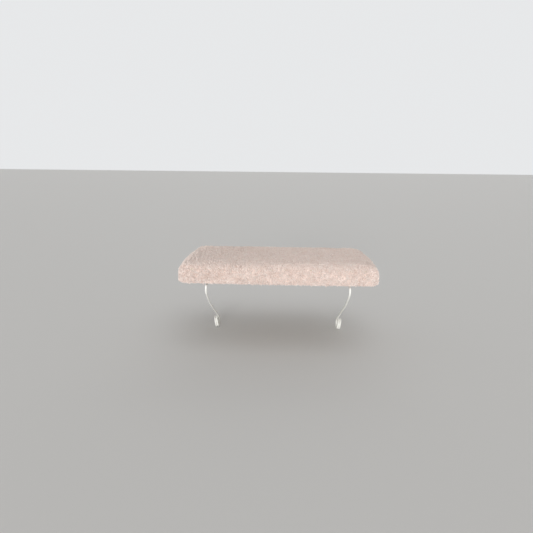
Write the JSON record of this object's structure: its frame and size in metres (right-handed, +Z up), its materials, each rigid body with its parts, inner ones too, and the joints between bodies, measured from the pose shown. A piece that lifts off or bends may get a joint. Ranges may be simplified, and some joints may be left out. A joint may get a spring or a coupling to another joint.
{
  "type": "window sill cat perch",
  "caption": "Padded rectangular window perch in a pale fleece cover; its back rests on the sill and bent rod legs with coiled feet brace against the wall.",
  "frame": {"origin": "middle of the sill strip's lower face, where the back of the shelf rests on the window sill", "axes": "+Z up, the front faces -Y, the window wall is on the +Y side, +X to the right seen from the front"},
  "size_m": [0.635, 0.349, 0.2926],
  "materials": {
    "fleece": "short dense pile",
    "foam": "open-cell foam",
    "board": "smooth fibreboard",
    "elastic": "woven elastic",
    "loop_tape": "soft loop tape",
    "hook_tape": "hook tape",
    "holder_nylon": "moulded nylon",
    "bush_nylon": "moulded nylon",
    "zinc_steel": "zinc plated",
    "knob_plastic": "fine texture",
    "coated_rod": "satin powder coat",
    "vinyl": "soft vinyl"
  },
  "bodies": {
    "shelf": {"platform_board": "board", "foam_pad": "foam", "fleece_cover": "fleece", "hem_elastic": "elastic", "sill_loop_strip": "loop_tape", "sill_hook_strip": "hook_tape", "left_front_block": "holder_nylon", "left_rear_block": "holder_nylon", "right_front_block": "holder_nylon", "right_rear_block": "holder_nylon", "block_screws": "zinc_steel", "left_clamp_nut": "zinc_steel", "right_clamp_nut": "zinc_steel"},
    "left_sleeve": {"left_bush": "bush_nylon"},
    "left_rod": {"left_leg": "coated_rod", "left_rod_cap": "vinyl"},
    "right_sleeve": {"right_bush": "bush_nylon"},
    "right_rod": {"right_leg": "coated_rod", "right_rod_cap": "vinyl"},
    "left_knob": {"left_clamp_screw": "knob_plastic"},
    "right_knob": {"right_clamp_screw": "knob_plastic"}
  },
  "joints": [
    {"name": "left_leg_fold", "type": "hinge", "parent": "shelf", "child": "left_sleeve", "pos_m": [-0.219, -0.2458, -0.0035], "axis": [0, -1, 0], "range_deg": [0, 90]},
    {"name": "left_leg_slide", "type": "slide", "parent": "left_sleeve", "child": "left_rod", "axis": [0, 1, 0], "range_m": [0, 0.05]},
    {"name": "left_clamp_turn", "type": "hinge", "parent": "shelf", "child": "left_knob", "pos_m": [-0.219, -0.1568, -0.0035], "axis": [0, 0, -1], "range_deg": [0, 360]},
    {"name": "right_leg_fold", "type": "hinge", "parent": "shelf", "child": "right_sleeve", "pos_m": [0.219, -0.2458, -0.0035], "axis": [0, 1, 0], "range_deg": [0, 82]},
    {"name": "right_leg_slide", "type": "slide", "parent": "right_sleeve", "child": "right_rod", "axis": [0, 1, 0], "range_m": [0, 0.05]},
    {"name": "right_clamp_turn", "type": "hinge", "parent": "shelf", "child": "right_knob", "pos_m": [0.219, -0.1568, -0.0035], "axis": [0, 0, -1], "range_deg": [0, 360]}
  ]
}
